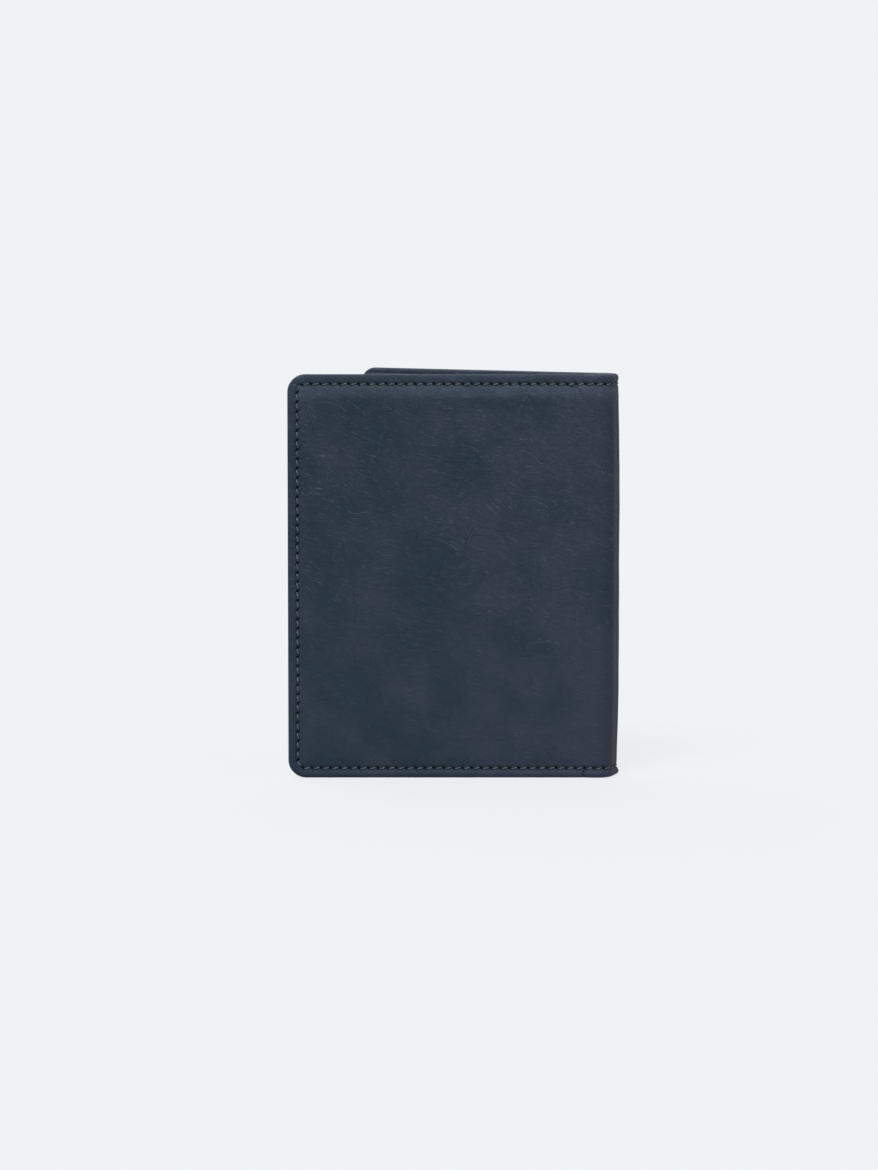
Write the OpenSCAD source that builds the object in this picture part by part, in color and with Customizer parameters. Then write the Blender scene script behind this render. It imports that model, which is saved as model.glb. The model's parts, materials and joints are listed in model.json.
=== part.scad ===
// Bifold card holder in turned-edge leather, standing half open on its bottom edges.
// Millimetres, +Z up. The front panel's outer face looks along -Y and the spine is at +X.
// Each panel is drawn in its own frame: x runs from the fold axis to the free edge, y is the
// depth below the outer face and z is the height. The spine is drawn the same way, with x
// running from the front fold axis to the rear one.

/* [Panels] */
// Height of both panels
panel_h = 100.8; // [96:0.1:130]
// Width of a panel, from its fold axis to its free edge
panel_w = 79; // [75:0.2:110]
// Radius of the two corners on a free edge
corner_r = 4.5; // [3.2:0.1:7]
// Angle between the two panels as they stand
open_angle = 36; // [10:0.1:88]

/* [Leather and board] */
// Thickness of the cover leather
cover_t = 1; // [0.8:0.05:1.6]
// Thickness of the board inside a panel, and of the tape inside the spine
board_t = 0.3; // [0.2:0.05:1]
// Thickness of the cover leather where it is pared and turned over the edge
hem_t = 0.55; // [0.4:0.05:1]
// Leather left between the board's slot and the outside of the turned edge
fold_t = 0.9; // [0.7:0.05:1.5]
// Width of the turned hem
hem_w = 8; // [6:0.5:12]
// Rounding of the turned edge
edge_r = 0.6; // [0.3:0.05:0.8]
// Thickness of the leather that the card slots are sewn to
back_t = 0.35; // [0.3:0.05:0.8]
// Thickness of each card slot's leather
slot_t = 0.35; // [0.3:0.05:0.8]
// Thickness of the fabric lining
lining_t = 0.15; // [0.1:0.05:0.3]

/* [Cards] */
// Long side of a card, which stands upright in its slot
card_long = 85.6; // [80:0.1:90]
// Short side of a card
card_short = 53.98; // [50:0.01:56]
// Thickness of a card
card_t = 0.76; // [0.5:0.01:1]
// Play between a card and the leather on its two faces together
card_play = 0.06; // [0.04:0.01:0.4]
// Play beyond each end of a card
card_end_play = 1.2; // [0.5:0.1:3]
// How far a card that is pushed home stands out of its slot
card_reveal = 8; // [5:0.5:10]
// How far each slot's mouth lies behind the next one's
slot_step = 9; // [6:0.5:10]
// Distance from the free edge to the closed end of the outermost slot
slot_end_margin = 4; // [3.5:0.5:6]

/* [Inside edges] */
// How far the slot leathers stay back from the panel's outline
pocket_inset = 1.4; // [0.2:0.1:1.5]
// Distance from the fold axis to the board, lining and slot leathers
pocket_margin = 2.4; // [2:0.1:5]
// Play round the board inside the turned edge
board_play = 0.3; // [0.1:0.05:0.6]
// Gap between the hem's cut edge and the lining
lining_play = 0.3; // [0.1:0.1:1]
// Gap left where two strips of one seam meet
strip_gap = 0.05; // [0.02:0.01:0.2]

/* [Spine] */
// Gap between the two panels' inner faces when the holder is shut
closed_gap = 0.3; // [0.2:0.1:3]
// Running gap round the rounded knuckle at each fold
knuckle_gap = 0.1; // [0.05:0.01:0.3]
// Clearance between the hems of a panel and of the spine when the holder is shut
fold_gap = 0.4; // [0.2:0.1:1]
// Distance from each fold axis to the tape, lining and hems of the spine
spine_inset = 0.5; // [0.2:0.1:2]

/* [Stitching] */
// Distance from the outline to the row of stitches
stitch_inset = 2.45; // [2:0.05:3]
// Distance from one stitch to the next
stitch_pitch = 2.35; // [1.8:0.05:4]
// Length of one stitch
stitch_len = 1.7; // [1:0.05:3]
// Diameter of the thread
thread_d = 0.45; // [0.3:0.05:0.6]
// Width of the groove that the stitches sink into
groove_w = 0.7; // [0.6:0.05:1]

/* [Hidden] */
$fn = 48;
// Small overlap that lets a cut pass right through a face
eps = 1;
// Layers, as depths below the outer face
hem_depth = cover_t + board_t;
edge_t = hem_depth + hem_t;
slot_gap = card_t + card_play;
slot_count = 2;
panel_t = edge_t + back_t + slot_count * (slot_gap + slot_t);
// The spine is as wide as it takes for the two panels to lie face to face when shut
spine_w = 2 * (panel_t - cover_t) + closed_gap;
// Panel hems start clear of the spine's hems when shut
hem_start = board_t + hem_t + fold_gap;
// Width of the sewn seam above and below a card
seam_w = (panel_h - card_long) / 2 - card_end_play;
// Each fold is turned by half of the angle between the panels
half_angle = open_angle / 2;

// Standing place of the two fold axes, with the origin below the middle of the whole holder
reach_x = panel_w + spine_w * sin(half_angle) + cover_t;
reach_y = spine_w * cos(half_angle) + (panel_w - edge_r) * sin(open_angle)
        + (cover_t - edge_r) * cos(open_angle) + edge_r + cover_t;
front_axis = [panel_w - reach_x / 2, cover_t - reach_y / 2, 0];
spine_dir = [sin(half_angle), cos(half_angle), 0];
spine_mid = front_axis + spine_dir * spine_w / 2;

leather = "#313c49";
slot_leather = "#35404d";
lining_cloth = "#232a33";
board_card = "#8a7f6d";
tape_cloth = "#cfc9bc";
thread = "#222b36";

// Distance from the free edge to the closed end of slot i, counted from the cover inwards
function closed_end(i) = slot_end_margin + (slot_count - i) * slot_step;
// Distance from the free edge to the mouth of slot i
function mouth(i) = closed_end(i) + card_short - card_reveal;
// Depth at which the gap for card i starts
function gap_depth(i) = edge_t + back_t + (i - 1) * (slot_gap + slot_t);

// Frames: panel or spine coordinates to the standing holder
module on_front() {
    translate(front_axis - [0, cover_t, 0]) mirror([1, 0, 0]) children();
}

module on_rear() {
    translate(spine_mid) mirror(spine_dir) translate(-spine_mid) on_front() children();
}

module on_spine() {
    translate(front_axis) rotate([0, 0, 90 - half_angle]) translate([0, -cover_t, 0]) children();
}

module at_both_edges() {
    children();
    translate([0, 0, panel_h]) mirror([0, 0, 1]) children();
}

// A sheet of thickness t at a depth, from an outline drawn in x and z
module sheet(depth, t) {
    translate([0, depth + t, 0]) rotate([90, 0, 0]) linear_extrude(t) children();
}

// A panel's outline, moved in by inset, from a distance off the fold axis to the free edge
module outline(inset, from_x) {
    r = corner_r - inset;
    end_x = panel_w - inset;
    difference() {
        translate([from_x, inset]) square([end_x - from_x, panel_h - 2 * inset]);
        for (high = [0, 1]) {
            translate([end_x - r, high ? panel_h - inset - r : inset + r])
                mirror([0, 1 - high]) difference() {
                    square(r + eps);
                    circle(r);
                }
        }
    }
}

// Section of the turned edge: x is the distance in from the outline, y the depth
module turned_edge(width) {
    slot_r = board_t / 2;
    difference() {
        union() {
            translate([edge_r, 0]) square([width - edge_r, edge_t]);
            translate([0, edge_r]) square([width, edge_t - 2 * edge_r]);
            for (y = [edge_r, edge_t - edge_r]) translate([edge_r, y]) circle(edge_r);
        }
        translate([fold_t + slot_r, cover_t]) square([width, board_t]);
        translate([fold_t + slot_r, cover_t + slot_r]) circle(slot_r);
        translate([stitch_inset - groove_w / 2, -eps]) square([groove_w, thread_d + eps]);
    }
}

// A straight length of turned edge along the bottom
module edge_bar(length) {
    rotate([0, 90, 0]) linear_extrude(length) mirror([1, 0]) turned_edge(hem_w);
}

// Keeps the hem of a bottom or top edge off the folds, from one end to the other
module hem_cut(from_x, to_x) {
    translate([from_x, cover_t, -eps]) cube([to_x - from_x, edge_t, panel_h + 2 * eps]);
}

module cover_panel() {
    difference() {
        union() {
            sheet(0, cover_t) translate([0, hem_w])
                square([panel_w - hem_w, panel_h - 2 * hem_w]);
            at_both_edges() {
                edge_bar(panel_w - corner_r);
                translate([panel_w - corner_r, 0, corner_r]) rotate([-90, 0, 0])
                    rotate_extrude(angle = 90) translate([corner_r, 0]) mirror([1, 0])
                        turned_edge(corner_r);
            }
            translate([panel_w, 0, corner_r]) mirror([1, 0, 0])
                linear_extrude(panel_h - 2 * corner_r) turned_edge(hem_w);
        }
        translate([0, cover_t, -eps]) cylinder(h = panel_h + 2 * eps, r = cover_t + knuckle_gap);
        hem_cut(-eps, hem_start);
    }
}

// A quarter-round knuckle of cover leather that fills the outside of a fold
module knuckle() {
    intersection() {
        translate([0, cover_t, edge_r]) cylinder(h = panel_h - 2 * edge_r, r = cover_t);
        translate([-2 * cover_t, -cover_t, 0]) cube([2 * cover_t, 2 * cover_t, panel_h]);
    }
}

module cover_spine() {
    knuckle();
    translate([spine_w, 0, 0]) mirror([1, 0, 0]) knuckle();
    difference() {
        union() {
            sheet(0, cover_t) translate([0, hem_w]) square([spine_w, panel_h - 2 * hem_w]);
            at_both_edges() edge_bar(spine_w);
        }
        hem_cut(-eps, spine_inset);
        hem_cut(spine_w - spine_inset, spine_w + eps);
    }
}

module stiffener() {
    sheet(cover_t, board_t) outline(fold_t + board_play, pocket_margin);
}

// The cloth inside a panel or the spine, between the cut edges of the hems
module lining(from_x, to_x) {
    low = hem_w + lining_play;
    sheet(hem_depth, lining_t) translate([from_x, low])
        square([to_x - from_x, panel_h - 2 * low]);
}

module pocket_back() {
    sheet(edge_t, back_t) outline(pocket_inset, pocket_margin);
}

module card_slot(i) {
    sheet(gap_depth(i) + slot_gap, slot_t) outline(pocket_inset, panel_w - mouth(i));
}

// The seams that hold slot i's leather one card's thickness off the layer below it
module slot_seam(i) {
    at_both_edges() sheet(gap_depth(i), slot_gap) intersection() {
        outline(pocket_inset, panel_w - mouth(i));
        square([panel_w, seam_w]);
    }
    sheet(gap_depth(i), slot_gap)
        translate([panel_w - closed_end(i), seam_w + strip_gap])
            square([closed_end(i) - pocket_inset, panel_h - 2 * (seam_w + strip_gap)]);
}

// One stitch lying along x, flush in the groove
module stitch() {
    translate([-stitch_len / 2, thread_d / 2, 0]) rotate([0, 90, 0])
        cylinder(h = stitch_len, d = thread_d, $fn = 16);
}

// As many stitches as fit evenly between two places along x
module stitch_row(from_x, to_x) {
    count = floor((to_x - from_x) / stitch_pitch);
    first = (from_x + to_x - (count - 1) * stitch_pitch) / 2;
    for (i = [0 : count - 1]) translate([first + i * stitch_pitch, 0, 0]) stitch();
}

module panel_stitches() {
    arc_r = corner_r - stitch_inset;
    arc_angle = stitch_len / arc_r * 180 / PI;
    at_both_edges() {
        translate([0, 0, stitch_inset]) stitch_row(cover_t, panel_w - corner_r);
        translate([panel_w - corner_r, 0, corner_r]) rotate([-90, 0, 0])
            rotate([0, 0, 45 - arc_angle / 2]) rotate_extrude(angle = arc_angle)
                translate([arc_r, thread_d / 2]) circle(d = thread_d, $fn = 16);
    }
    translate([panel_w - stitch_inset, 0, panel_h]) rotate([0, 90, 0])
        stitch_row(corner_r, panel_h - corner_r);
}

module front_cover() { color(leather) on_front() cover_panel(); }
module front_stiffener() { color(board_card) on_front() stiffener(); }
module front_lining() {
    color(lining_cloth) on_front() lining(pocket_margin, panel_w - hem_w - lining_play);
}
module front_pocket_back() { color(slot_leather) on_front() pocket_back(); }
module front_card_slot_1() { color(slot_leather) on_front() card_slot(1); }
module front_card_slot_2() { color(slot_leather) on_front() card_slot(2); }
module front_slot_seams() {
    color(slot_leather) on_front() for (i = [1 : slot_count]) slot_seam(i);
}
module front_stitching() { color(thread) on_front() panel_stitches(); }

module spine_cover() { color(leather) on_spine() cover_spine(); }
module spine_tape() {
    color(tape_cloth) on_spine() sheet(cover_t, board_t)
        translate([spine_inset, fold_t + board_play])
            square([spine_w - 2 * spine_inset, panel_h - 2 * (fold_t + board_play)]);
}
module spine_lining() {
    color(lining_cloth) on_spine() lining(spine_inset, spine_w - spine_inset);
}
module spine_stitching() {
    color(thread) on_spine() at_both_edges()
        translate([0, 0, stitch_inset]) stitch_row(0, spine_w);
}

module rear_cover() { color(leather) on_rear() cover_panel(); }
module rear_stiffener() { color(board_card) on_rear() stiffener(); }
module rear_lining() {
    color(lining_cloth) on_rear() lining(pocket_margin, panel_w - hem_w - lining_play);
}
module rear_pocket_back() { color(slot_leather) on_rear() pocket_back(); }
module rear_card_slot_1() { color(slot_leather) on_rear() card_slot(1); }
module rear_card_slot_2() { color(slot_leather) on_rear() card_slot(2); }
module rear_slot_seams() {
    color(slot_leather) on_rear() for (i = [1 : slot_count]) slot_seam(i);
}
module rear_stitching() { color(thread) on_rear() panel_stitches(); }

front_cover();
front_stiffener();
front_lining();
front_pocket_back();
front_card_slot_1();
front_card_slot_2();
front_slot_seams();
front_stitching();
spine_cover();
spine_tape();
spine_lining();
spine_stitching();
rear_cover();
rear_stiffener();
rear_lining();
rear_pocket_back();
rear_card_slot_1();
rear_card_slot_2();
rear_slot_seams();
rear_stitching();
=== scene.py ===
"""A bifold card holder in navy pebbled calf, standing half open on its bottom edges.

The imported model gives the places. Lengths here are millimetres until a mesh is made.
Each panel is drawn flat, in sheet coordinates: a from the free edge towards the spine,
z upwards and depth in from the outer face. The rear half mirrors the front half, and s
runs on over the whole cover, from the front's free edge to the rear's.
"""
import json
import math

import bmesh
import bpy
import numpy as np
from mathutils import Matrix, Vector


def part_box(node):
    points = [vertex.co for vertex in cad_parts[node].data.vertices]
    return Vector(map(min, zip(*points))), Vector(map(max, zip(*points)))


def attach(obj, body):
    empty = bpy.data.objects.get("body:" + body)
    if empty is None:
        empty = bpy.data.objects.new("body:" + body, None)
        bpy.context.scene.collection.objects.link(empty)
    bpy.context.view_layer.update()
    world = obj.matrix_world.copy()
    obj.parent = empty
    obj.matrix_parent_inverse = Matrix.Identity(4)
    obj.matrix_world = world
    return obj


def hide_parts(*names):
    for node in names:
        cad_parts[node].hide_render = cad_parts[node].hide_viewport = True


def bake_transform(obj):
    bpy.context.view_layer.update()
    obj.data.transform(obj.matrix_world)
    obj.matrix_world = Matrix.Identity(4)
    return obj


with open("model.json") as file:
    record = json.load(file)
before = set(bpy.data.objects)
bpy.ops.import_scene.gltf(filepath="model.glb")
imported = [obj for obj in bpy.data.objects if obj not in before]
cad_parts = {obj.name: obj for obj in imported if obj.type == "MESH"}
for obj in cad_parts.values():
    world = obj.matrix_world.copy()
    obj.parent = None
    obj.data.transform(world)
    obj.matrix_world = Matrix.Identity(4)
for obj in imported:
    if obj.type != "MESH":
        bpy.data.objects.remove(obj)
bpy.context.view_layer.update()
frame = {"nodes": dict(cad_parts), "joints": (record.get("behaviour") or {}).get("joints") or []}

MM = 0.001


# ---------------------------------------------------------------- sizes from the frame

def box_mm(node_name):
    low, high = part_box(node_name)
    return np.array(low) / MM, np.array(high) / MM


joints = {joint["name"]: joint for joint in frame["joints"]}
front_axis = np.array(joints["front_fold"]["pos_m"])[:2] / MM
rear_axis = np.array(joints["rear_fold"]["pos_m"])[:2] / MM
spine_w = float(np.linalg.norm(rear_axis - front_axis))
spine_dir = (rear_axis - front_axis) / spine_w
spine_mid = (front_axis + rear_axis) / 2
fold_turn = math.atan2(spine_dir[1], spine_dir[0])

cover_low, cover_high = box_mm("front_cover")
free_x, face_y = cover_low[0], cover_low[1]
height = cover_high[2]
cover_t = front_axis[1] - face_y
panel_w = front_axis[0] - free_x


def layer(node_name):
    """Depths of a flat front node's two faces, and how far it reaches from the free edge."""
    low, high = box_mm(node_name)
    return low[1] - face_y, high[1] - face_y, high[0] - free_x


back_top, back_low, back_reach = layer("front_pocket_back")
slot_1_top, slot_1_low, slot_1_reach = layer("front_card_slot_1")
slot_2_top, slot_2_low, slot_2_reach = layer("front_card_slot_2")
board_top, board_low, _ = layer("front_stiffener")
lining_top, lining_low, _ = layer("front_lining")
pocket_inset = box_mm("front_pocket_back")[0][0] - free_x
lining_low_z = box_mm("front_lining")[0][2]
lining_free = box_mm("front_lining")[0][0] - free_x

# ---------------------------------------------------------------- sizes of the finish

corner_r = 4.5
edge_t = back_top
roll_r = edge_t / 2
hem_lap = 0.15
hem_w = lining_low_z + hem_lap
fold_r = 3.5
seam_inset = 2.45
seam_pitch = 2.35
thread_r = 0.2
slit_slant = math.radians(31)
seam_w = 6.4
closed_ends = (13.0, 4.0)
tape_inset = 0.5
tape_half = spine_w / 2 - tape_inset
tape_low_z = 1.2
tape_clearance = 0.09
flesh_inset = 1.35
flesh_clear = 0.02
cut_edge = 0.12

# The cover's relief: how far each form stands up or sinks, and over what distance
pad_rise, pad_top_rise, pad_run = 0.26, 0.32, 3.4
belly_rise, belly_run = 0.4, 18
ditch_depth, ditch_width = 0.2, 0.55
dimple_depth, dimple_long, dimple_wide = 0.28, 0.62, 0.34
spine_rise, spine_mid_rise, spine_run = 0.5, 0.4, 22
flare_rise, flare_less_at_top = 0.5, 0.4
foot_lip_rise = 0.24
pucker_rise, pucker_reach, pucker_wide, pucker_fine = 0.6, 3.4, 2.6, 0.8
crease_at, crease_lean, crease_depth, crease_width = 74.0, 0.3, 0.7, 0.38
wave_rise, wave_size, ripple_rise, ripple_size = 0.09, 13, 0.035, 4.5

tangent = math.tan(fold_turn / 2)
flat_len = panel_w + (cover_t - fold_r) * tangent
arc_len = fold_r * fold_turn
half_spine = spine_w / 2 + (cover_t - fold_r) * tangent
half_len = flat_len + arc_len + half_spine


# ---------------------------------------------------------------- from sheet to place

def outer_line(a):
    """Places and inward normals of the outer face's section, at distances a from the free edge."""
    turn = np.clip((a - flat_len) / fold_r, 0, fold_turn)
    along = np.minimum(a, flat_len)
    after = np.maximum(a - flat_len - arc_len, 0)
    x = free_x + along + fold_r * np.sin(turn) + after * math.cos(fold_turn)
    y = face_y + fold_r * (1 - np.cos(turn)) + after * math.sin(fold_turn)
    return x, y, -np.sin(turn), np.cos(turn)


def place(points, mirrored):
    """Sheet points (a, z, depth) to the standing holder, in metres."""
    a, z, depth = points.T
    x, y, nx, ny = outer_line(a)
    spot = np.stack([x + nx * depth, y + ny * depth], 1)
    if mirrored:
        off = (spot - spine_mid) @ spine_dir
        spot = spot - 2 * off[:, None] * spine_dir
    return np.column_stack([spot, z]) * MM


class Shell:
    """Sheet points, their places on the flat sheet, and faces, gathered part by part."""

    def __init__(self):
        self.points, self.flat, self.faces = [], [], []
        self.count = 0

    def add(self, points, flat=None):
        """Keeps some points and returns the number of the first."""
        first = self.count
        self.points.append(points)
        self.flat.append(points[:, :2] if flat is None else flat)
        self.count += len(points)
        return first

    def add_faces(self, faces, first=0):
        self.faces += [tuple(int(v) + first for v in face) for face in faces]

    def joined(self):
        return np.concatenate(self.points), np.concatenate(self.flat)


def make_mesh(name, shell, mirrored, extra=None):
    """A mesh from a shell, with its flat-sheet coordinates kept on its vertices."""
    points, flat = shell.joined()
    data = bpy.data.meshes.new(name)
    faces = [face[::-1] for face in shell.faces] if mirrored else shell.faces
    data.from_pydata(place(points, mirrored).tolist(), [], faces)
    s = 2 * half_len - flat[:, 0] if mirrored else flat[:, 0]
    values = {"sheet": np.column_stack([s, flat[:, 1], np.zeros(len(s))])}
    values.update(extra or {})
    for key, value in values.items():
        attribute = data.attributes.new(key, "FLOAT_VECTOR", "POINT")
        attribute.data.foreach_set("vector", value.astype(np.float32).ravel())
    data.polygons.foreach_set("use_smooth", [True] * len(data.polygons))
    data.update()
    piece = bpy.data.objects.new(name, data)
    bpy.context.scene.collection.objects.link(piece)
    return piece


def weld(piece):
    """Merges the points that meet on the mitred corners."""
    shape = bmesh.new()
    shape.from_mesh(piece.data)
    bmesh.ops.remove_doubles(shape, verts=shape.verts, dist=1e-6)
    bmesh.ops.recalc_face_normals(shape, faces=shape.faces)
    shape.to_mesh(piece.data)
    shape.free()


# ---------------------------------------------------------------- small numeric helpers

def ease(x, low, high):
    t = np.clip((x - low) / (high - low), 0, 1)
    return t * t * (3 - 2 * t)


def bell(x, width):
    return np.exp(-(x / width) ** 2)


def noise(x, y, seed):
    """Smooth noise from -1 to 1 that changes over a distance of one."""
    size = 256
    table = np.random.RandomState(seed).uniform(-1, 1, (size, size))
    ix, iy = np.floor(x).astype(int), np.floor(y).astype(int)
    fx, fy = ease(x - ix, 0, 1), ease(y - iy, 0, 1)
    next_x, next_y = (ix + 1) % size, (iy + 1) % size
    near = table[ix % size, iy % size] * (1 - fx) + table[next_x, iy % size] * fx
    far = table[ix % size, next_y] * (1 - fx) + table[next_x, next_y] * fx
    return near * (1 - fy) + far * fy


def spaced(low, high, step, fine, fine_low=0.0, fine_high=0.0):
    """Grid lines a step apart, closer near the ends; their intervals are a multiple of 3."""
    probe = np.linspace(low, high, 4001)
    middle = (probe[1:] + probe[:-1]) / 2
    near_end = (middle < low + fine_low) | (middle > high - fine_high)
    filled = np.concatenate([[0], np.cumsum(np.where(near_end, 1 / fine, 1 / step))])
    filled *= (high - low) / len(middle)
    count = max(3, 3 * round(filled[-1] / 3))
    return np.interp(np.linspace(0, filled[-1], count + 1), filled, probe)


# ---------------------------------------------------------------- the edge seam

seam_turn_r = corner_r - seam_inset
seam_arc = seam_turn_r * math.pi / 2
row_len = half_len - corner_r
side_len = height - 2 * corner_r
seam_len = 2 * row_len + 2 * seam_arc + side_len
seam_count = round(seam_len / seam_pitch)
seam_step = seam_len / seam_count


def seam_point(t):
    """Place (a, z) and outward direction at distances t along the seam, from the spine's foot."""
    t = np.asarray(t, float)
    flip = t > seam_len / 2
    u = np.where(flip, seam_len - t, t)
    turn = np.clip((u - row_len) / seam_turn_r, 0, math.pi / 2)
    rise = np.maximum(u - row_len - seam_arc, 0)
    a = half_len - np.minimum(u, row_len) - seam_turn_r * np.sin(turn)
    z = seam_inset + seam_turn_r * (1 - np.cos(turn)) + rise
    out_a, out_z = -np.sin(turn), -np.cos(turn)
    return a, np.where(flip, height - z, z), out_a, np.where(flip, -out_z, out_z)


def seam_coords(a, z):
    """Distance along the seam, and outwards across it, of sheet places."""
    low = np.minimum(z, height - z)
    in_corner = (a < corner_r) & (low < corner_r)
    angle = np.arctan2(np.maximum(corner_r - a, 0), np.maximum(corner_r - low, 1e-6))
    reach = np.hypot(corner_r - a, corner_r - low)
    beside = a < low
    along = np.where(beside, row_len + seam_arc + low - corner_r, half_len - a)
    along = np.where(in_corner, row_len + seam_turn_r * angle, along)
    across = np.where(beside, seam_inset - a, seam_inset - low)
    across = np.where(in_corner, reach - seam_turn_r, across)
    return np.where(z > height / 2, seam_len - along, along), across


def edge_distance(a, z):
    """Distance in from the panel's outline."""
    low = np.minimum(z, height - z)
    in_corner = (a < corner_r) & (low < corner_r)
    rounded = corner_r - np.hypot(corner_r - a, corner_r - low)
    return np.where(in_corner, rounded, np.minimum(a, low))


# ---------------------------------------------------------------- the cover's relief

def past_fold(s):
    """Distance past the start of the nearest fold, positive on the spine side."""
    return np.where(s < half_len, s, 2 * half_len - s) - flat_len


def seam_relief(s, along, across):
    """The ditch that the thread pulls into the leather, and a slanted dimple at each awl slit."""
    hole = ((along / seam_step + 0.5) % 1 - 0.5) * seam_step * np.where(s > half_len, -1, 1)
    slit_along = hole * math.cos(slit_slant) - across * math.sin(slit_slant)
    slit_across = hole * math.sin(slit_slant) + across * math.cos(slit_slant)
    dimple = dimple_depth * bell(slit_along, dimple_long) * bell(slit_across, dimple_wide)
    return -ditch_depth * bell(across, ditch_width) - dimple


def gathers(s, inside, ends, high, spine_part):
    """Puckers that lean away from the seam, strongest along the top and towards the fold."""
    gather = 0.25 + high * (0.05 + 0.7 * ease(s, 30, 52))
    slid = s - (0.4 + 0.3 * high) * inside
    ridge = 0.6 - 1.7 * abs(noise(slid / pucker_wide, inside / 7.0, 3))
    pucker = ridge + 0.4 * noise(slid / pucker_fine, inside / 3.0, 4)
    fade = np.exp(-np.maximum(inside, 0) / pucker_reach) * ease(inside, -0.2, 0.8) * (ends < 20)
    return pucker_rise * gather * pucker * (1 - 0.75 * spine_part) * fade


def spine_relief(s, z, ends, high, spine_part):
    """The spine's leather stands full of its lining, most at mid-height, and flares at its ends."""
    fullness = spine_rise + spine_mid_rise * ease(ends, seam_inset, seam_inset + spine_run)
    margin = ease(past_fold(s), -4, 0) * ease(-ends, -seam_inset, -0.8)
    return fullness * spine_part + (flare_rise - flare_less_at_top * high) * margin


def cover_relief(a, s, z):
    """How far the outer face stands proud of the flat."""
    along, across = seam_coords(a, z)
    inside = edge_distance(a, z) - seam_inset
    ends = np.minimum(z, height - z)
    high = ease(z, height / 2 - 30, height - 12)
    spine_part = ease(past_fold(s), -6, 0)
    pad = (pad_rise + pad_top_rise * high * ease(s, 20, 48)) * (1 - 0.9 * spine_part)
    rise = pad * ease(inside, 0.1, pad_run)
    rise = rise + belly_rise * ease(inside, 0, belly_run) * (1 - spine_part)
    rise = rise + foot_lip_rise * (1 - ease(z, 6, 30)) * ease(across, 0.2, 1.5) * (1 - spine_part)
    rise = rise + seam_relief(s, along, across) + spine_relief(s, z, ends, high, spine_part)
    rise = rise + gathers(s, inside, ends, high, spine_part)
    crease = bell(s - crease_at - crease_lean * (z - 1), crease_width) * (1 - ease(z, 2.0, 2.6))
    soft = wave_rise * noise(s / wave_size, z / wave_size, 7)
    soft = soft + ripple_rise * noise(s / ripple_size, z / ripple_size, 8)
    return rise - crease_depth * crease + soft * ease(inside, 0.2, 5)


# ---------------------------------------------------------------- grids with round corners

def corner_map(a, z, low_a, inset, radius):
    """Moves grid places near the two free corners onto a round outline."""
    low = np.minimum(z, height - z)
    u = np.clip((low_a + radius - a) / radius, 0, 1)
    v = np.clip((inset + radius - low) / radius, 0, 1)
    in_corner = (u > 0) & (v > 0)
    new_a = np.where(in_corner, low_a + radius - radius * u * np.sqrt(1 - v * v / 2), a)
    new_low = np.where(in_corner, inset + radius - radius * v * np.sqrt(1 - u * u / 2), low)
    return new_a, np.where(z > height / 2, height - new_low, new_low)


def grid(a_lines, z_lines, inset_a, inset_z, radius):
    """Places of a grid whose free corners are round, one row of a_lines after another."""
    a, z = np.meshgrid(a_lines, z_lines)
    return corner_map(a.ravel(), z.ravel(), inset_a, inset_z, radius)


def grid_faces(columns, rows, facing_out):
    """Four-sided faces of a grid with so many points across and up."""
    faces = []
    for j in range(rows - 1):
        for i in range(columns - 1):
            p = j * columns + i
            face = (p, p + 1, p + columns + 1, p + columns)
            faces.append(face if facing_out else face[::-1])
    return faces


def open_contour(columns, rows):
    """Grid points from the spine's foot along the bottom, up the free side and back along the top."""
    bottom = list(range(columns - 1, -1, -1))
    side = [j * columns for j in range(1, rows)]
    top = [(rows - 1) * columns + i for i in range(1, columns)]
    return np.array(bottom + side + top)


def outward(a, z, inset, radius):
    """Unit directions out of the outline for places on it, (a, z) parts."""
    low = np.minimum(z, height - z)
    centre = inset + radius
    on_row = a >= centre
    on_side = (low >= centre) & (a < centre)
    da = np.where(on_row, 0, np.where(on_side, -1, a - centre))
    dz = np.where(on_row, -1, np.where(on_side, 0, low - centre))
    size = np.hypot(da, dz)
    return da / size, np.where(z > height / 2, -dz, dz) / size


# ---------------------------------------------------------------- the cover leather

def edge_rings():
    """The turned edge after the outer face: (inset, depth, leather length from the face's border)."""
    rings = []
    for turn in np.linspace(0, math.pi, 9)[1:]:
        length = roll_r * turn
        rings.append((roll_r * (1 - math.sin(turn)), roll_r * (1 - math.cos(turn)), length))
    turned = roll_r * math.pi
    for inset in (1.3, 1.8, 2.15, 2.45, 2.75, 3.2, 4.4, 6.0, 7.4, hem_w - cut_edge):
        rings.append((inset, edge_t, turned + inset - roll_r))
    cut = turned + hem_w
    hem_low = board_low + 0.03
    rings.append((hem_w, edge_t - cut_edge, cut))
    rings.append((hem_w, hem_low, cut))
    rings.append((flesh_inset, hem_low, cut - 6))
    rings.append((flesh_inset - 0.2, (board_top + board_low) / 2, cut - 7))
    rings.append((flesh_inset, board_top - flesh_clear, cut - 7))
    return rings


def turned_edge(shell, border, a, z, proud):
    """Rolls the leather over the edge and along its hem; returns the last ring of points."""
    out_a, out_z = outward(a, z, roll_r, corner_r - roll_r)
    previous = border
    for inset, depth, length in edge_rings():
        ring_a = np.maximum(a + out_a * (roll_r - inset), inset)
        ring_z = np.clip(z + out_z * (roll_r - inset), inset, height - inset)
        share = np.clip(1 - depth / edge_t, 0, 1)
        dent = 0.12 * bell(inset - seam_inset, 0.5) if depth > board_low + 0.1 else 0
        places = np.column_stack([ring_a, ring_z, depth - proud * share - dent])
        first = shell.add(places, np.column_stack([a + out_a * length, z + out_z * length]))
        ring = np.arange(first, first + len(border))
        for k in range(len(border) - 1):
            shell.add_faces([(previous[k + 1], previous[k], ring[k], ring[k + 1])])
        previous = ring
    return previous


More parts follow.
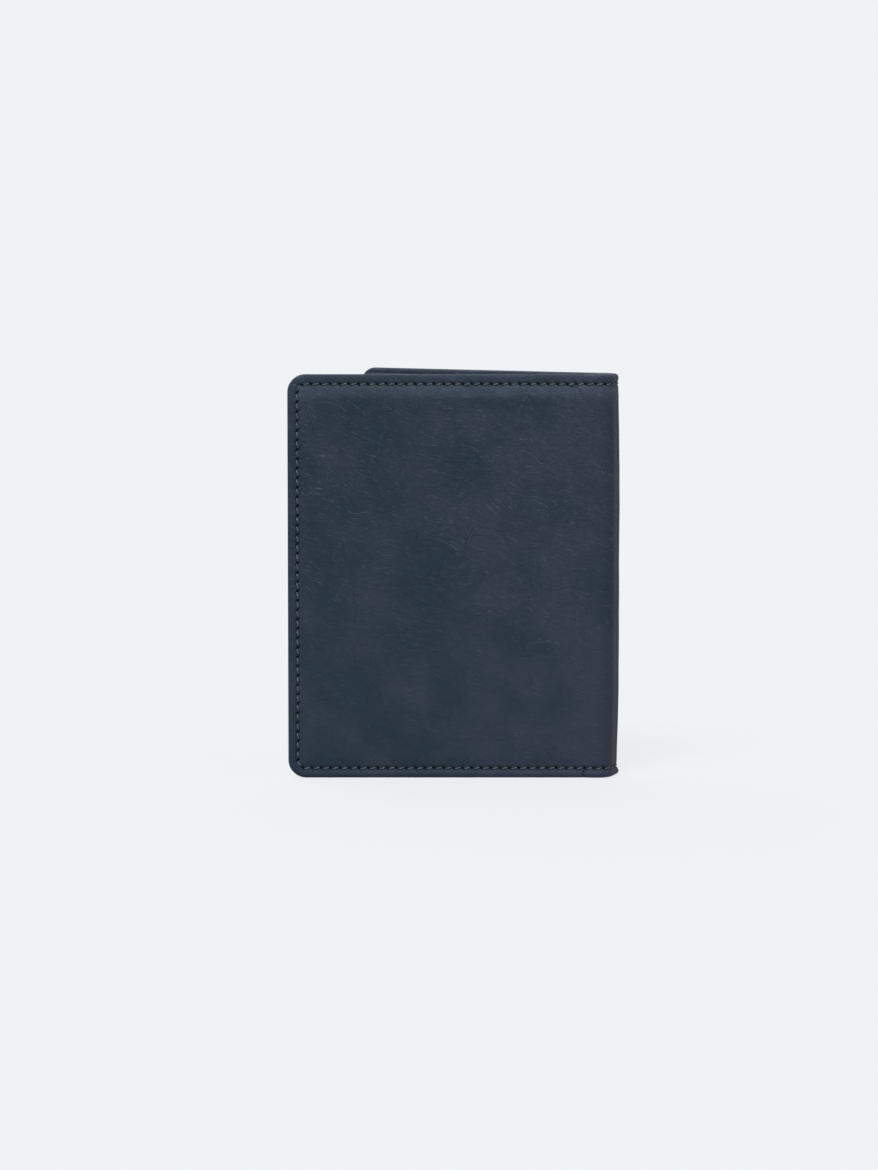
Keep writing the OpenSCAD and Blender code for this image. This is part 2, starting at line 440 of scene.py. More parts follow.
def flesh_side(shell, a_lines, z_lines, last_ring):
    """The inner face, a coarser grid joined to the last ring of the hem."""
    share_a = (half_len - flesh_inset) / (half_len - roll_r)
    share_z = (height - 2 * flesh_inset) / (height - 2 * roll_r)
    inner_a = flesh_inset + (a_lines[::3] - roll_r) * share_a
    inner_z = flesh_inset + (z_lines[::3] - roll_r) * share_z
    a, z = grid(inner_a, inner_z, flesh_inset, flesh_inset, corner_r - flesh_inset)
    first = shell.add(np.column_stack([a, z, np.full(len(a), board_top - flesh_clear)]))
    columns, rows = len(inner_a), len(inner_z)
    shell.add_faces(grid_faces(columns, rows, False), first)
    border = first + open_contour(columns, rows)
    for k in range(len(border) - 1):
        outer = [last_ring[3 * k + m] for m in (3, 2, 1, 0)]
        shell.add_faces([(*outer, border[k], border[k + 1])])
    return first, columns, rows


def mid_spine_cap(columns, rows, count, inner_first, inner_columns, inner_rows):
    """Closes the cover where it is cut at mid-spine."""
    faces = []
    outer = [j * columns + columns - 1 for j in range(rows)]
    inner = [inner_first + j * inner_columns + inner_columns - 1 for j in range(inner_rows)]
    for k in range(inner_rows - 1):
        faces.append((*outer[3 * k:3 * k + 4], inner[k + 1], inner[k]))
    face_points = columns * rows
    rings = (inner_first - face_points) // count
    foot = [face_points + r * count for r in range(rings)]
    head = [face_points + r * count + count - 1 for r in range(rings)]
    faces.append((outer[0], inner[0], *foot[::-1]))
    faces.append((inner[-1], outer[-1], *head))
    return faces


def cover_half(name, mirrored):
    """Half of the cover: outer face, turned edge on three sides, and flesh side."""
    a_lines = spaced(roll_r, half_len, 0.36, 0.25, 4.0, 0.0)
    z_lines = spaced(roll_r, height - roll_r, 0.4, 0.25, 4.0, 4.0)
    columns, rows = len(a_lines), len(z_lines)
    a, z = grid(a_lines, z_lines, roll_r, roll_r, corner_r - roll_r)
    s = 2 * half_len - a if mirrored else a
    shell = Shell()
    shell.add(np.column_stack([a, z, -cover_relief(a, s, z)]))
    shell.add_faces(grid_faces(columns, rows, True))
    border = open_contour(columns, rows)
    proud = cover_relief(a[border], s[border], z[border])
    last_ring = turned_edge(shell, border, a[border], z[border], proud)
    inner_grid = flesh_side(shell, a_lines, z_lines, last_ring)
    shell.add_faces(mid_spine_cap(columns, rows, len(border), *inner_grid))

    _, flat = shell.joined()
    along, across = seam_coords(flat[:, 0], flat[:, 1])
    turned_in = np.arange(len(flat)) >= len(a)
    seam = np.column_stack([-along if mirrored else along, across, turned_in])
    piece = make_mesh(name, shell, mirrored, {"seam": seam})
    weld(piece)
    return piece


# ---------------------------------------------------------------- flat leathers, cloths and strips

def slab(name, low_a, high_a, low_z, top, low, mirrored, radius, step, fine_mouth=0.0, relief=None):
    """A closed sheet between two depths with a round rim; relief(a, z) moves both its faces."""
    half_t = (low - top) / 2
    rim = min(half_t, 0.25)
    a_lines = spaced(low_a + rim, high_a - rim, step, 0.25, 0.0, fine_mouth)
    z_lines = spaced(low_z + rim, height - low_z - rim, step, step)
    columns, rows = len(a_lines), len(z_lines)
    a, z = grid(a_lines, z_lines, low_a + rim, low_z + rim, max(radius - rim, 0.2))
    lift = relief(a, z) if relief else np.zeros(len(a))
    shell = Shell()
    shell.add(np.column_stack([a, z, low + lift]))
    under = shell.add(np.column_stack([a, z, top + lift]))
    shell.add_faces(grid_faces(columns, rows, False))
    shell.add_faces(grid_faces(columns, rows, True), under)

    mouth_side = [j * columns + columns - 1 for j in range(rows - 2, 0, -1)]
    border = np.concatenate([open_contour(columns, rows), mouth_side]).astype(int)
    spots = np.column_stack([a[border], z[border]])
    out = out_of_ring(spots, ((low_a + high_a) / 2, height / 2))
    previous = border
    for turn in (0.25, 0.5, 0.75):
        swing = math.pi * turn
        depth = (top + low) / 2 + half_t * math.cos(swing) + lift[border]
        first = shell.add(np.column_stack([spots + out * rim * math.sin(swing), depth]))
        ring = np.arange(first, first + len(border))
        shell.add_faces(ring_faces(previous, ring))
        previous = ring
    shell.add_faces(ring_faces(previous, border + under))
    return make_mesh(name, shell, mirrored)


def out_of_ring(spots, centre):
    """Unit directions out of a closed ring of places."""
    way = np.roll(spots, -1, 0) - np.roll(spots, 1, 0)
    out = np.column_stack([-way[:, 1], way[:, 0]])
    out /= np.linalg.norm(out, axis=1)[:, None]
    return out if ((spots - np.array(centre)) * out).sum() >= 0 else -out


def ring_faces(one, two):
    """Faces between two closed rings of as many points."""
    count = len(one)
    return [(one[(k + 1) % count], two[(k + 1) % count], two[k], one[k]) for k in range(count)]


def sag(mouth_a, amount, seed):
    """An empty slot's leather sinks towards the cover, most at the mouth, with a creased lip."""
    def relief(a, z):
        ends = np.minimum(z, height - z)
        open_part = ease(ends, 6.5, 17) * ease(a, 6, 30)
        lip = ease(a, mouth_a - 9, mouth_a)
        sink = amount * open_part * (0.75 + 0.25 * lip)
        crease = 0.1 * bell(a - (mouth_a - 1.9), 0.28)
        edge_roll = 0.06 * ease(a, mouth_a - 0.9, mouth_a)
        seam_ditch = 0.12 * bell(edge_distance(a, z) - seam_inset, 0.6)
        wave = 0.07 * noise(a / 17, z / 15, seed) * open_part
        return -(sink + crease + edge_roll + seam_ditch + wave)
    return relief


def seam_strips(name, mirrored):
    """The turned seam allowances between the slot leathers: a U-shaped layer under each slot."""
    shell = Shell()
    under_slot_1 = (back_low, slot_1_top, slot_1_reach, closed_ends[0])
    under_slot_2 = (slot_1_low, slot_2_top, slot_2_reach, closed_ends[1])
    for top, low, reach, closed in (under_slot_1, under_slot_2):
        add_u_layer(shell, reach, closed, top, low)
    return make_mesh(name, shell, mirrored)


def add_u_layer(shell, reach, closed, top, low):
    """A closed U: two rows along the ends of the slot and one across its closed end."""
    row_lines = np.linspace(pocket_inset, seam_w, 8)
    between = np.linspace(seam_w, height - seam_w, 60)[1:-1]
    a_lines = np.concatenate([np.linspace(pocket_inset, closed, 6), np.linspace(closed, reach, 40)])
    a_lines = np.unique(a_lines)
    z_lines = np.concatenate([row_lines, between, (height - row_lines)[::-1]])
    columns = len(a_lines)
    a, z = grid(a_lines, z_lines, pocket_inset, pocket_inset, corner_r - pocket_inset)
    wave = 0.03 * noise(a / 6, z / 6, 12)
    wave = wave * ease(edge_distance(a, z), pocket_inset, pocket_inset + 1)
    points = np.concatenate([np.column_stack([a, z, top + wave]), np.column_stack([a, z, low + wave])])

    cells = []
    for j in range(len(z_lines) - 1):
        in_row = min(z_lines[j + 1], height - z_lines[j]) < seam_w + 1e-6
        for i in range(columns - 1):
            if in_row or a_lines[i + 1] < closed + 1e-6:
                p = j * columns + i
                cells.append((p, p + 1, p + columns + 1, p + columns))
    faces = closed_faces(cells, len(a))
    used = sorted({v for face in faces for v in face})
    order = {v: k for k, v in enumerate(used)}
    first = shell.add(points[used])
    shell.add_faces([[order[v] for v in face] for face in faces], first)


def closed_faces(cells, offset):
    """Cells on one face, the same cells on the other face, and walls round their outline."""
    edges = {}
    for cell in cells:
        for k in range(4):
            edges[(cell[k], cell[(k + 1) % 4])] = True
    faces = []
    for cell in cells:
        faces.append(cell)
        faces.append(tuple(v + offset for v in cell[::-1]))
    for one, two in edges:
        if (two, one) not in edges:
            faces.append((two, one, one + offset, two + offset))
    return faces


# ---------------------------------------------------------------- thread

def thread_tube(centre_line, radius, sides=8):
    """Points and faces of a round thread along a line of sheet points, closed at its ends."""
    count = len(centre_line)
    way = np.gradient(centre_line, axis=0)
    way /= np.linalg.norm(way, axis=1)[:, None]
    across = np.cross(way, np.array([0.0, 0.0, 1.0]))
    across /= np.linalg.norm(across, axis=1)[:, None]
    above = np.cross(across, way)
    points = []
    for k in range(count):
        thick = radius * (0.72 if k in (0, count - 1) else 1.0)
        for angle in np.arange(sides) * 2 * math.pi / sides:
            offset = math.cos(angle) * across[k] + math.sin(angle) * above[k]
            points.append(centre_line[k] + thick * offset)
    faces = []
    for k in range(count - 1):
        for side in range(sides):
            n = (side + 1) % sides
            p, q = k * sides, (k + 1) * sides
            faces.append((p + side, p + n, q + n, q + side))
    faces.append(tuple(range(sides))[::-1])
    faces.append(tuple(range((count - 1) * sides, count * sides)))
    return np.array(points), faces


def inner_ground(a):
    """Depth of the leather under the inner stitches."""
    pressed = 0.1
    depth = np.full(len(a), edge_t - pressed)
    depth = np.where(a < back_reach, back_low, depth)
    depth = np.where(a < slot_1_reach, slot_1_low - pressed, depth)
    return np.where(a < slot_2_reach, slot_2_low - pressed, depth)


def stitch_line(t, inner, mirrored):
    """The centre line of the stitch at places t on the seam: slanted, and buried at both ends."""
    steps = np.linspace(0, 1, len(t))
    a, z, out_a, out_z = seam_point(t)
    swing = (-1 if mirrored else 1) * (-0.12 if inner else 0.26) * (2 * steps - 1)
    a, z = a + out_a * swing, z + out_z * swing
    arch = 0.46 * np.sin(math.pi * steps) - 0.26
    if inner:
        middle = np.full(len(a), a[len(t) // 2])
        return np.column_stack([a, z, inner_ground(middle) + 0.45 * arch])
    s = 2 * half_len - a if mirrored else a
    ground = -cover_relief(a, s, z)
    ground = (ground.min() + 0.1) * 0.5 + ground * 0.5
    return np.column_stack([a, z, ground - arch])


def thread_half(name, mirrored):
    """All stitches of half the holder, on the outside and on the inside."""
    shell, plies = Shell(), []
    steps, sides = np.linspace(0, 1, 9), 8
    around = np.tile(np.arange(sides) / sides, len(steps))
    for inner in (False, True):
        for k in range(seam_count):
            t = (k + 0.12 + 0.76 * steps) * seam_step
            points, faces = thread_tube(stitch_line(t, inner, mirrored), thread_r, sides)
            shell.add_faces(faces, shell.add(points))
            plies.append(np.column_stack([np.repeat(t, sides), around, np.zeros(len(around))]))
    piece = make_mesh(name, shell, mirrored, {"ply": np.concatenate(plies)})
    weld(piece)
    return piece


# ---------------------------------------------------------------- materials

def linear(hex_colour):
    """An sRGB hex colour as linear RGBA."""
    parts = [int(hex_colour[k:k + 2], 16) / 255 for k in (1, 3, 5)]
    return [*(v / 12.92 if v <= 0.04045 else ((v + 0.055) / 1.055) ** 2.4 for v in parts), 1.0]


def node(tree, kind, inputs, **settings):
    """Adds a node with its settings; an input is a value or another node's output."""
    made = tree.nodes.new("ShaderNode" + kind)
    for key, value in settings.items():
        setattr(made, key, value)
    for socket, value in inputs.items():
        if isinstance(value, bpy.types.NodeSocket):
            tree.links.new(value, made.inputs[socket])
        else:
            made.inputs[socket].default_value = value
    return made.outputs


def new_material(name):
    """An empty material and its node tree."""
    material = bpy.data.materials.new(name)
    material.use_nodes = True
    material.node_tree.nodes.clear()
    return material, material.node_tree


def fold_lines(tree, spot, scale, toward, width):
    """Valleys of a cell pattern, and a painted highlight on the lips on one side of them, the side that
    faces the light.
    """
    # toward shifts the pattern towards the light; the lips that gain on that side get the painted
    # highlight.
    shifted = node(tree, "VectorMath", {0: spot, 1: (0.1 * toward, toward, 0.0)}, operation="ADD")[0]
    here, there = (
        node(tree, "TexVoronoi", {"Vector": at, "Scale": scale}, feature="DISTANCE_TO_EDGE")[0]
        for at in (spot, shifted))
    valley = node(tree, "MapRange", {
        "Value": here, "From Max": width, "To Min": 1.0, "To Max": 0.0},
        interpolation_type="SMOOTHSTEP")[0]
    gain = node(tree, "Math", {0: there, 1: here}, operation="SUBTRACT")[0]
    lit = node(tree, "MapRange", {
        "Value": gain, "From Min": 0.35 * toward * scale, "From Max": 0.95 * toward * scale},
        interpolation_type="SMOOTHSTEP")[0]
    return valley, node(tree, "Math", {0: valley, 1: lit}, operation="MULTIPLY")[0]


def grain_places(tree, sheet):
    """Sheet places turned to lie along the grain and drifted a little."""
    turn = (0, 0, math.radians(22))
    places = node(tree, "Mapping", {"Vector": sheet, "Rotation": turn}, vector_type="POINT")[0]
    for scale, detail, drift_mm in ((0.07, 1.0, 8.0), (0.9, 2.0, 0.35)):
        wander = node(tree, "TexNoise", {"Vector": sheet, "Scale": scale, "Detail": detail})[1]
        shift = node(tree, "VectorMath", {0: wander, 3: drift_mm}, operation="SCALE")[0]
        places = node(tree, "VectorMath", {0: places, 1: shift}, operation="ADD")[0]
    return places


def calf_grain(tree, sheet, up, pores):
    """How far the grain stands up, and how strong the painted highlight on the lit lips of its folds is.
    """
    bent = grain_places(tree, sheet)
    cells, wide = (
        node(tree, "Mapping", {"Vector": bent, "Scale": scale}, vector_type="POINT")[0]
        for scale in ((0.52, 1.0, 1.0), (0.3, 0.85, 1.0)))
    valley, lip = fold_lines(tree, cells, 0.95, 0.16, 0.085)
    fine_valley, fine_lit_lip = fold_lines(tree, cells, 1.9, 0.1, 0.11)
    long_valley, long_lit_lip = fold_lines(tree, wide, 0.42, 0.14, 0.03)
    here = node(tree, "TexNoise", {"Vector": cells, "Scale": 0.8, "Detail": 1.0})[0]
    there = node(tree, "TexNoise", {"Vector": sheet, "Scale": 0.16, "Detail": 2.0})[0]
    some, few = (
        node(tree, "MapRange", {"Value": patch, "From Min": low, "From Max": high},
             interpolation_type="SMOOTHSTEP")[0]
        for patch, low, high in ((here, 0.42, 0.66), (there, 0.5, 0.64)))

    pebble = node(tree, "TexVoronoi", {"Vector": cells, "Scale": 0.95, "Randomness": 1.0},
                  feature="SMOOTH_F1")[0]
    swell = node(tree, "TexNoise", {"Vector": cells, "Scale": 0.3, "Detail": 3.0})[0]
    forms = ((pebble, up, -0.8), (valley, up, -0.5), (fine_valley, 1.0, -0.2),
             (pores, 1.0, 0.35), (swell, 1.0, 1.2), (long_valley, few, -0.9))
    rise = 0.0
    for form, where, amount in forms:
        share = node(tree, "Math", {0: where, 1: amount}, operation="MULTIPLY")[0]
        rise = node(tree, "Math", {0: form, 1: share, 2: rise}, operation="MULTIPLY_ADD")[0]

    # Painted highlight: the lips of the folds that face the light are tinted pale.
    pale = 0.0
    for lips, where, amount in ((lip, some, 1.0), (fine_lit_lip, some, 0.45), (long_lit_lip, few, 1.0)):
        share = node(tree, "Math", {0: where, 1: amount}, operation="MULTIPLY")[0]
        patch = node(tree, "Math", {0: lips, 1: share}, operation="MULTIPLY")[0]
        pale = node(tree, "Math", {0: pale, 1: patch}, operation="MAXIMUM")[0]
    fade = node(tree, "Math", {0: up, 1: 0.34}, operation="MULTIPLY")[0]
    return rise, node(tree, "Math", {0: pale, 1: fade}, operation="MULTIPLY")[0]


def calf_dye(tree, sheet, along, colour):
    """Two shades that drift into each other, with more of the second towards the fold."""
    offset = node(tree, "Math", {0: along, 1: half_len}, operation="SUBTRACT")[0]
    from_fold = node(tree, "Math", {0: offset}, operation="ABSOLUTE")[0]
    near_fold = node(tree, "MapRange", {
        "Value": from_fold, "From Min": 5.0, "From Max": 58.0, "To Min": 0.17, "To Max": 0.0},
        interpolation_type="SMOOTHSTEP")[0]
    tone = node(tree, "TexNoise", {"Vector": sheet, "Scale": 0.07, "Detail": 4.0})[0]
    both = node(tree, "Math", {0: tone, 1: near_fold}, operation="ADD")[0]
    blend = node(tree, "MapRange", {"Value": both, "From Min": 0.4, "From Max": 0.7},
                 interpolation_type="SMOOTHSTEP")[0]
    shades = {"Factor": blend, "A": linear(colour[0]), "B": linear(colour[1])}
    return node(tree, "Mix", shades, data_type="RGBA")[2]


def top_seam_highlight(tree, up_sheet, across, pores):
    """Painted highlight: a pale band inside the seam along the top, where the padded shoulder faces up
    and catches the light.
    """
    band = 1.0
    for place_mm, low, high, out_low, out_high in (
            (across, -5.5, -0.7, 0.0, 1.0),
            (across, -0.5, 0.2, 1.0, 0.25),
            (up_sheet, height - 9.0, height - 4.0, 0.0, 0.09),
            (pores, 0.3, 0.7, 0.4, 1.0)):
        part = node(tree, "MapRange", {
            "Value": place_mm, "From Min": low, "From Max": high, "To Min": out_low, "To Max": out_high},
            interpolation_type="SMOOTHSTEP")[0]
        band = node(tree, "Math", {0: band, 1: part}, operation="MULTIPLY")[0]
    return band


def awl_slit_shade(tree, along, across):
    """Painted shade: slanted slits under the ends of the stitches, near black where the awl slit and the
    thread's end lie in shadow.
    """
    half_long, half_wide = 0.9, 0.3
    steps = node(tree, "Math", {0: along, 1: 1 / seam_step, 2: 0.5}, operation="MULTIPLY_ADD")[0]
    phase = node(tree, "Math", {0: steps}, operation="FRACT")[0]
    du = node(tree, "Math", {0: phase, 1: seam_step, 2: -0.5 * seam_step}, operation="MULTIPLY_ADD")[0]
    cos, sin = math.cos(slit_slant), math.sin(slit_slant)
    reach = 0.0
    for half, along_part, across_part in ((half_long, cos, -sin), (half_wide, sin, cos)):
        one = node(tree, "Math", {0: du, 1: along_part / half}, operation="MULTIPLY")[0]
        way = node(tree, "Math", {0: across, 1: across_part / half, 2: one},
                   operation="MULTIPLY_ADD")[0]
        reach = node(tree, "Math", {0: way, 1: way, 2: reach}, operation="MULTIPLY_ADD")[0]
    return node(tree, "MapRange", {
        "Value": reach, "From Min": 0.35, "From Max": 1.0, "To Min": 1.0, "To Max": 0.0},
        interpolation_type="SMOOTHSTEP")[0]


def pebbled_calf(name, colour, light, strength, stitched):
    """Drum-dyed calf, tumbled so that its grain draws up into pebbles: soft cells 1 to 1.5 mm long
    that lie along the fold of the hide, fine pores, and short pale lines painted as highlights on the
    sides of the folds that face the light. The finish is satin, a little rougher in the pores."""
    material, tree = new_material(name)
    sheet = node(tree, "Attribute", {}, attribute_name="sheet")[1]
    along, up_sheet, _ = node(tree, "SeparateXYZ", {"Vector": sheet})
    pores = node(tree, "TexNoise", {"Vector": sheet, "Scale": 2.6, "Detail": 4.0})[0]
    up = node(tree, "MapRange", {
        "Value": up_sheet, "From Min": 12.0, "From Max": 70.0, "To Min": 0.35},
        interpolation_type="SMOOTHSTEP")[0]
    rise, pale = calf_grain(tree, sheet, up, pores)
    # Painted highlight: the lit lips of the grain's folds are mixed towards the pale tint light.
    layers = [(pale, light)]
    if stitched:
        seam = node(tree, "Attribute", {}, attribute_name="seam")[1]
        seam_along, seam_across, _ = node(tree, "SeparateXYZ", {"Vector": seam})
        hole = awl_slit_shade(tree, seam_along, seam_across)
        # Painted highlight along the top seam, and painted shade, near black, in the awl slits and over
        # the stitch ends.
        layers += [(top_seam_highlight(tree, up_sheet, seam_across, pores), light), (hole, "#05070a")]
        rise = node(tree, "Math", {0: hole, 1: -5.0, 2: rise}, operation="MULTIPLY_ADD")[0]
    mixed = calf_dye(tree, sheet, along, colour)
    for share, tint in layers:
        mixed = node(tree, "Mix", {"Factor": share, "A": mixed, "B": linear(tint)},
                     data_type="RGBA")[2]
    rough = node(tree, "MapRange", {
        "Value": pores, "From Min": 0.3, "From Max": 0.7, "To Min": 0.48, "To Max": 0.62},
        interpolation_type="SMOOTHSTEP")[0]
    bump = node(tree, "Bump", {"Height": rise, "Distance": 0.00014, "Strength": strength})[0]
    shader = node(tree, "BsdfPrincipled", {
        "Base Color": mixed, "Roughness": rough, "Normal": bump,
        "IOR": 1.5, "Specular IOR Level": 0.08})[0]
    node(tree, "OutputMaterial", {"Surface": shader})
    return material


def woven_cloth(name, warp_hex, weft_hex, thread_mm, roughness):
    """Plain-woven cloth: threads pass over and under each other, so it shows a fine matt check."""
    material, tree = new_material(name)
    sheet = node(tree, "Attribute", {}, attribute_name="sheet")[1]
    turns = node(tree, "VectorMath", {0: sheet, 3: math.pi / thread_mm}, operation="SCALE")[0]
    across, up, _ = node(tree, "SeparateXYZ", {"Vector": turns})
    warp, weft = (node(tree, "Math", {0: way}, operation="SINE")[0] for way in (across, up))
    over = node(tree, "Math", {0: warp, 1: weft}, operation="MULTIPLY")[0]
    face = node(tree, "MapRange", {"Value": over, "From Min": -0.2, "From Max": 0.2},
                interpolation_type="SMOOTHSTEP")[0]
    mixed = node(tree, "Mix", {"Factor": face, "A": linear(warp_hex), "B": linear(weft_hex)},
                 data_type="RGBA")[2]
    ridge = node(tree, "Math", {0: over}, operation="ABSOLUTE")[0]
    bump = node(tree, "Bump", {"Height": ridge, "Distance": 0.00008, "Strength": 0.9})[0]
    shader = node(tree, "BsdfPrincipled", {
        "Base Color": mixed, "Roughness": roughness, "Normal": bump,
        "Sheen Weight": 0.02, "Specular IOR Level": 0.12})[0]
    node(tree, "OutputMaterial", {"Surface": shader})
    return material


def twisted_thread(name, groove_shade, light):
    """Waxed polyester thread: three plies twisted together, so slanted ridges run along it; its colour
    is painted darker in the grooves between the plies, as shade.
    """
    material, tree = new_material(name)
    ply = node(tree, "Attribute", {}, attribute_name="ply")[1]
    along, around, _ = node(tree, "SeparateXYZ", {"Vector": ply})
    turns = node(tree, "Math", {0: along, 1: 1.6, 2: around}, operation="MULTIPLY_ADD")[0]
    angle = node(tree, "Math", {0: turns, 1: 2 * math.pi}, operation="MULTIPLY")[0]
    wave = node(tree, "Math", {0: angle}, operation="SINE")[0]
    # Painted shade: the colour darkens towards the grooves between the plies.
    face = node(tree, "MapRange", {"Value": wave, "From Min": -1.0, "From Max": 0.6},
                interpolation_type="SMOOTHSTEP")[0]
    mixed = node(tree, "Mix", {"Factor": face, "A": linear(groove_shade), "B": linear(light)},
                 data_type="RGBA")[2]
    bump = node(tree, "Bump", {"Height": wave, "Distance": 0.00005, "Strength": 0.8})[0]
    shader = node(tree, "BsdfPrincipled", {
        "Base Color": mixed, "Roughness": 0.42, "Normal": bump, "Specular IOR Level": 0.5})[0]
    node(tree, "OutputMaterial", {"Surface": shader})
    return material


def pressed_board(name, colour, fleck):
    """Grey pulp board, pressed and uncoated: matt, with short pale fibres."""
    material, tree = new_material(name)
    spot = node(tree, "TexCoord", {})[3]
    fibre = node(tree, "TexNoise", {"Vector": spot, "Scale": 1500.0, "Detail": 4.0})[0]
    mixed = node(tree, "Mix", {"Factor": fibre, "A": linear(colour), "B": linear(fleck)},
                 data_type="RGBA")[2]
    bump = node(tree, "Bump", {"Height": fibre, "Distance": 0.00005, "Strength": 0.5})[0]
    shader = node(tree, "BsdfPrincipled", {"Base Color": mixed, "Roughness": 0.9, "Normal": bump})[0]
    node(tree, "OutputMaterial", {"Surface": shader})
    return material


def seamless_paper(name, colour, shade):
    """A lit paper sweep: almost all of its tone is its own, so only a faint shadow falls on it."""
    shaded_part = 0.12
    material, tree = new_material(name)
    spot = node(tree, "TexCoord", {})[3]
    tooth = node(tree, "TexNoise", {"Vector": spot, "Scale": 900.0, "Detail": 2.0})[0]
    bump = node(tree, "Bump", {"Height": tooth, "Distance": 0.00002, "Strength": 0.2})[0]
    glow = node(tree, "Emission", {"Color": linear(colour), "Strength": 1.0})[0]
    matt = node(tree, "BsdfDiffuse", {"Color": linear(shade), "Normal": bump})[0]
    both = node(tree, "MixShader", {0: shaded_part, 1: glow, 2: matt})[0]
    node(tree, "OutputMaterial", {"Surface": both})
    return material


# The third colour of each calf is the tint of its painted highlights; the thread's first colour is its
# painted groove shade.
calf = pebbled_calf("pebbled_calf", ("#1f2a34", "#292f3c"), "#8492a2", 1.0, True)
slot_calf = pebbled_calf("slot_calf", ("#1c2834", "#202a39"), "#4a5563", 0.6, False)
edge_calf = pebbled_calf("edge_calf", ("#151d27", "#18202b"), "#2c3642", 0.35, False)
lining_weave = woven_cloth("lining_weave", "#161f2a", "#253040", 0.28, 0.75)
tape_weave = woven_cloth("cotton_tape", "#b9b2a3", "#cfc9bc", 0.4, 0.9)
poly_thread = twisted_thread("waxed_thread", "#1d2733", "#3e4a59")
pulp_board = pressed_board("pulp_board", "#8a7f6d", "#a0967f")


# ---------------------------------------------------------------- building

def dress(piece, material):
    """Gives a piece its material."""
    piece.data.materials.clear()
    piece.data.materials.append(material)


def bend(piece, mirrored):
    """Bakes a piece's transform into its mesh, the same for either half."""
    if mirrored:
        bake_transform(piece)
    else:
        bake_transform(piece)


def build_cover(side, mirrored):
    """The cover leather and its thread, from the free edge to mid-spine."""
    cover = cover_half(side + "_cover_leather", mirrored)
    dress(cover, calf)
    bend(cover, mirrored)
    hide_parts(side + "_cover", "spine_cover")

    threads = thread_half(side + "_edge_thread", mirrored)
    dress(threads, poly_thread)
    bend(threads, mirrored)
    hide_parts(side + "_stitching", "spine_stitching")
    return cover


def build_inside(side, mirrored):
    """The lining and the tape, from the panel to mid-spine."""
    lining = slab(side + "_lining_cloth", lining_free, half_len, lining_low_z, lining_top, lining_low,
                  mirrored, 0.5, 0.5)
    dress(lining, lining_weave)
    bend(lining, mirrored)
    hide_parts(side + "_lining", "spine_lining")

    tape = slab(side + "_tape_half", half_len - tape_half, half_len, tape_low_z, board_top,
                board_low - tape_clearance, mirrored, 0.3, 0.5)
    dress(tape, tape_weave)
    bend(tape, mirrored)
    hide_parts("spine_tape")


def build_slots(side, mirrored):
    """The pocket and slot leathers and the seam strips between them, which ride on the panel."""
    body = side + "_panel"
    seams = seam_strips(side + "_seam_strips", mirrored)
    dress(seams, edge_calf)
    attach(seams, body)
    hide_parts(side + "_slot_seams")

    leathers = (
        ("pocket_leather", "_pocket_back", back_top, back_low, back_reach, 0.0, 5),
        ("slot_leather_1", "_card_slot_1", slot_1_top, slot_1_low, slot_1_reach, 0.5, 6),
        ("slot_leather_2", "_card_slot_2", slot_2_top, slot_2_low, slot_2_reach, 1.05, 9),
    )
    for title, stands_for, top, low, reach, sink, seed in leathers:
        piece = slab(f"{side}_{title}", pocket_inset, reach, pocket_inset, top, low, mirrored,
                     corner_r - pocket_inset, 0.8, 3.0, sag(reach, sink, seed))
        dress(piece, slot_calf)
        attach(piece, body)
        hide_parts(side + stands_for)


for side, mirrored in (("front", False), ("rear", True)):
    cover = build_cover(side, mirrored)
    build_inside(side, mirrored)
    build_slots(side, mirrored)
    board = frame["nodes"][side + "_stiffener"]
    board.data.materials.clear()
    board.data.materials.append(pulp_board)


# ---------------------------------------------------------------- floor, light and camera

def paper_floor(size_m):
    """A wide flat sheet of studio paper."""
    data = bpy.data.meshes.new("floor")
    corners = [(-size_m, -size_m, 0), (size_m, -size_m, 0), (size_m, size_m, 0), (-size_m, size_m, 0)]
    data.from_pydata(corners, [], [(0, 1, 2, 3)])
    floor = bpy.data.objects.new("floor", data)
    bpy.context.scene.collection.objects.link(floor)
    floor.data.materials.append(seamless_paper("studio_paper", "#eff3f6", "#aeb1b4"))


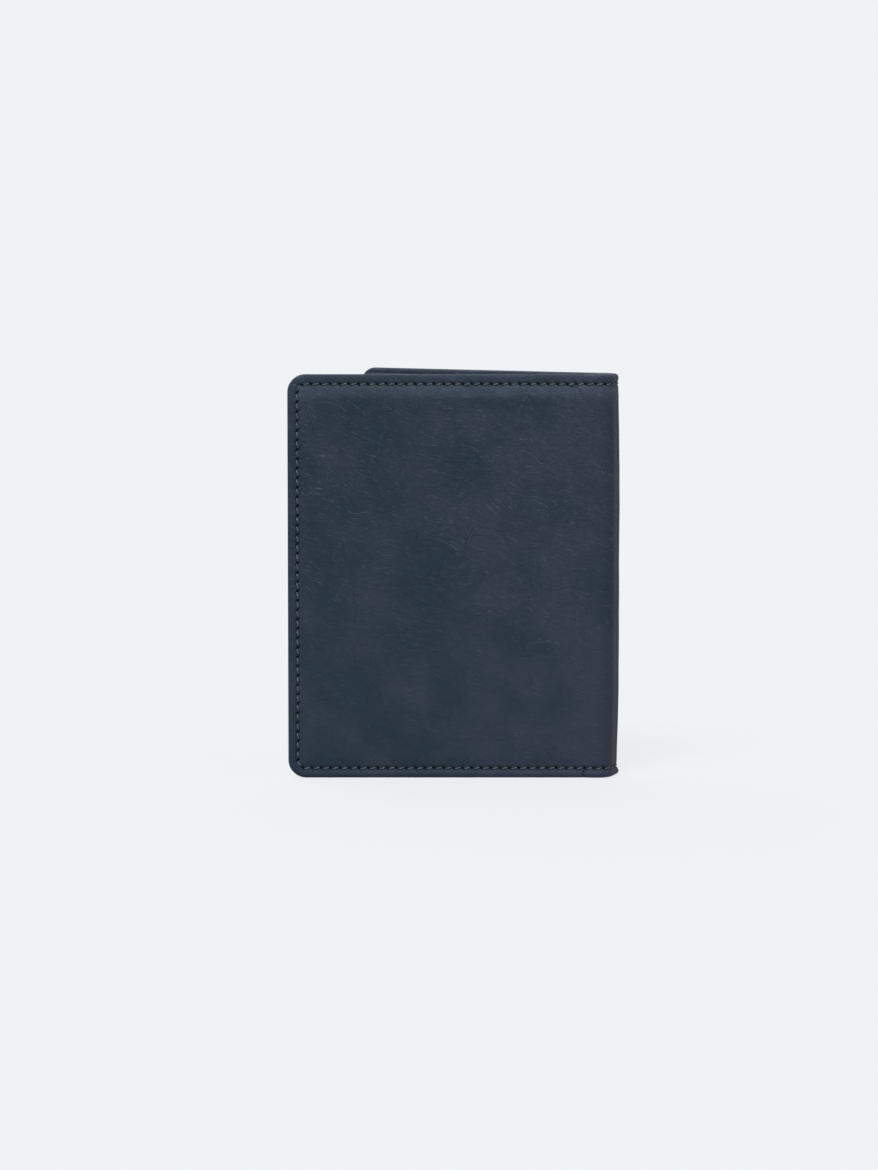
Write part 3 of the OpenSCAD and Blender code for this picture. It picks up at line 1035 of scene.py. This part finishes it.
def studio_room(horizon, ceiling):
    """A pale backdrop all round, under a dimmer ceiling."""
    world = bpy.data.worlds.new("studio")
    world.use_nodes = True
    tree = world.node_tree
    tree.nodes.clear()
    way = node(tree, "TexCoord", {})[0]
    up = node(tree, "SeparateXYZ", {"Vector": way})[2]
    high = node(tree, "MapRange", {"Value": up, "From Min": 0.1, "From Max": 0.5},
                interpolation_type="SMOOTHSTEP")[0]
    mixed = node(tree, "Mix", {"Factor": high, "A": linear(horizon), "B": linear(ceiling)},
                 data_type="RGBA")[2]
    light = node(tree, "Background", {"Color": mixed, "Strength": 1.0})[0]
    node(tree, "OutputWorld", {"Surface": light})
    bpy.context.scene.world = world


def soft_sun(name, strength, spread, azimuth, elevation):
    """A large soft lamp far away, from a compass direction round the object."""
    lamp = bpy.data.lights.new(name, "SUN")
    lamp.energy = strength
    lamp.angle = math.radians(spread)
    holder = bpy.data.objects.new(name, lamp)
    turn, rise = math.radians(azimuth), math.radians(elevation)
    back = (math.sin(turn) * math.cos(rise), -math.cos(turn) * math.cos(rise), math.sin(rise))
    holder.rotation_euler = Vector(back).to_track_quat("Z", "Y").to_euler()
    bpy.context.scene.collection.objects.link(holder)


def make_camera():
    """A long lens square to the front panel and a little above it."""
    data = bpy.data.cameras.new("camera")
    data.sensor_fit = "HORIZONTAL"
    data.sensor_width = 36.0
    data.lens = 165.4
    camera = bpy.data.objects.new("camera", data)
    aim = Vector((-3.5 * MM, face_y * MM, 48.4 * MM))
    distance_m, above_m = 1.0, 0.087
    camera.location = aim + Vector((0, -distance_m, above_m))
    camera.rotation_euler = (camera.location - aim).to_track_quat("Z", "Y").to_euler()
    bpy.context.scene.collection.objects.link(camera)
    bpy.context.scene.camera = camera


paper_floor(8.0)
studio_room("#eff3f6", "#a9acaf")
soft_sun("key", strength=3.8, spread=22, azimuth=-20, elevation=54)
soft_sun("fill", strength=2.4, spread=50, azimuth=200, elevation=50)
make_camera()
bpy.context.scene.view_settings.view_transform = "Standard"
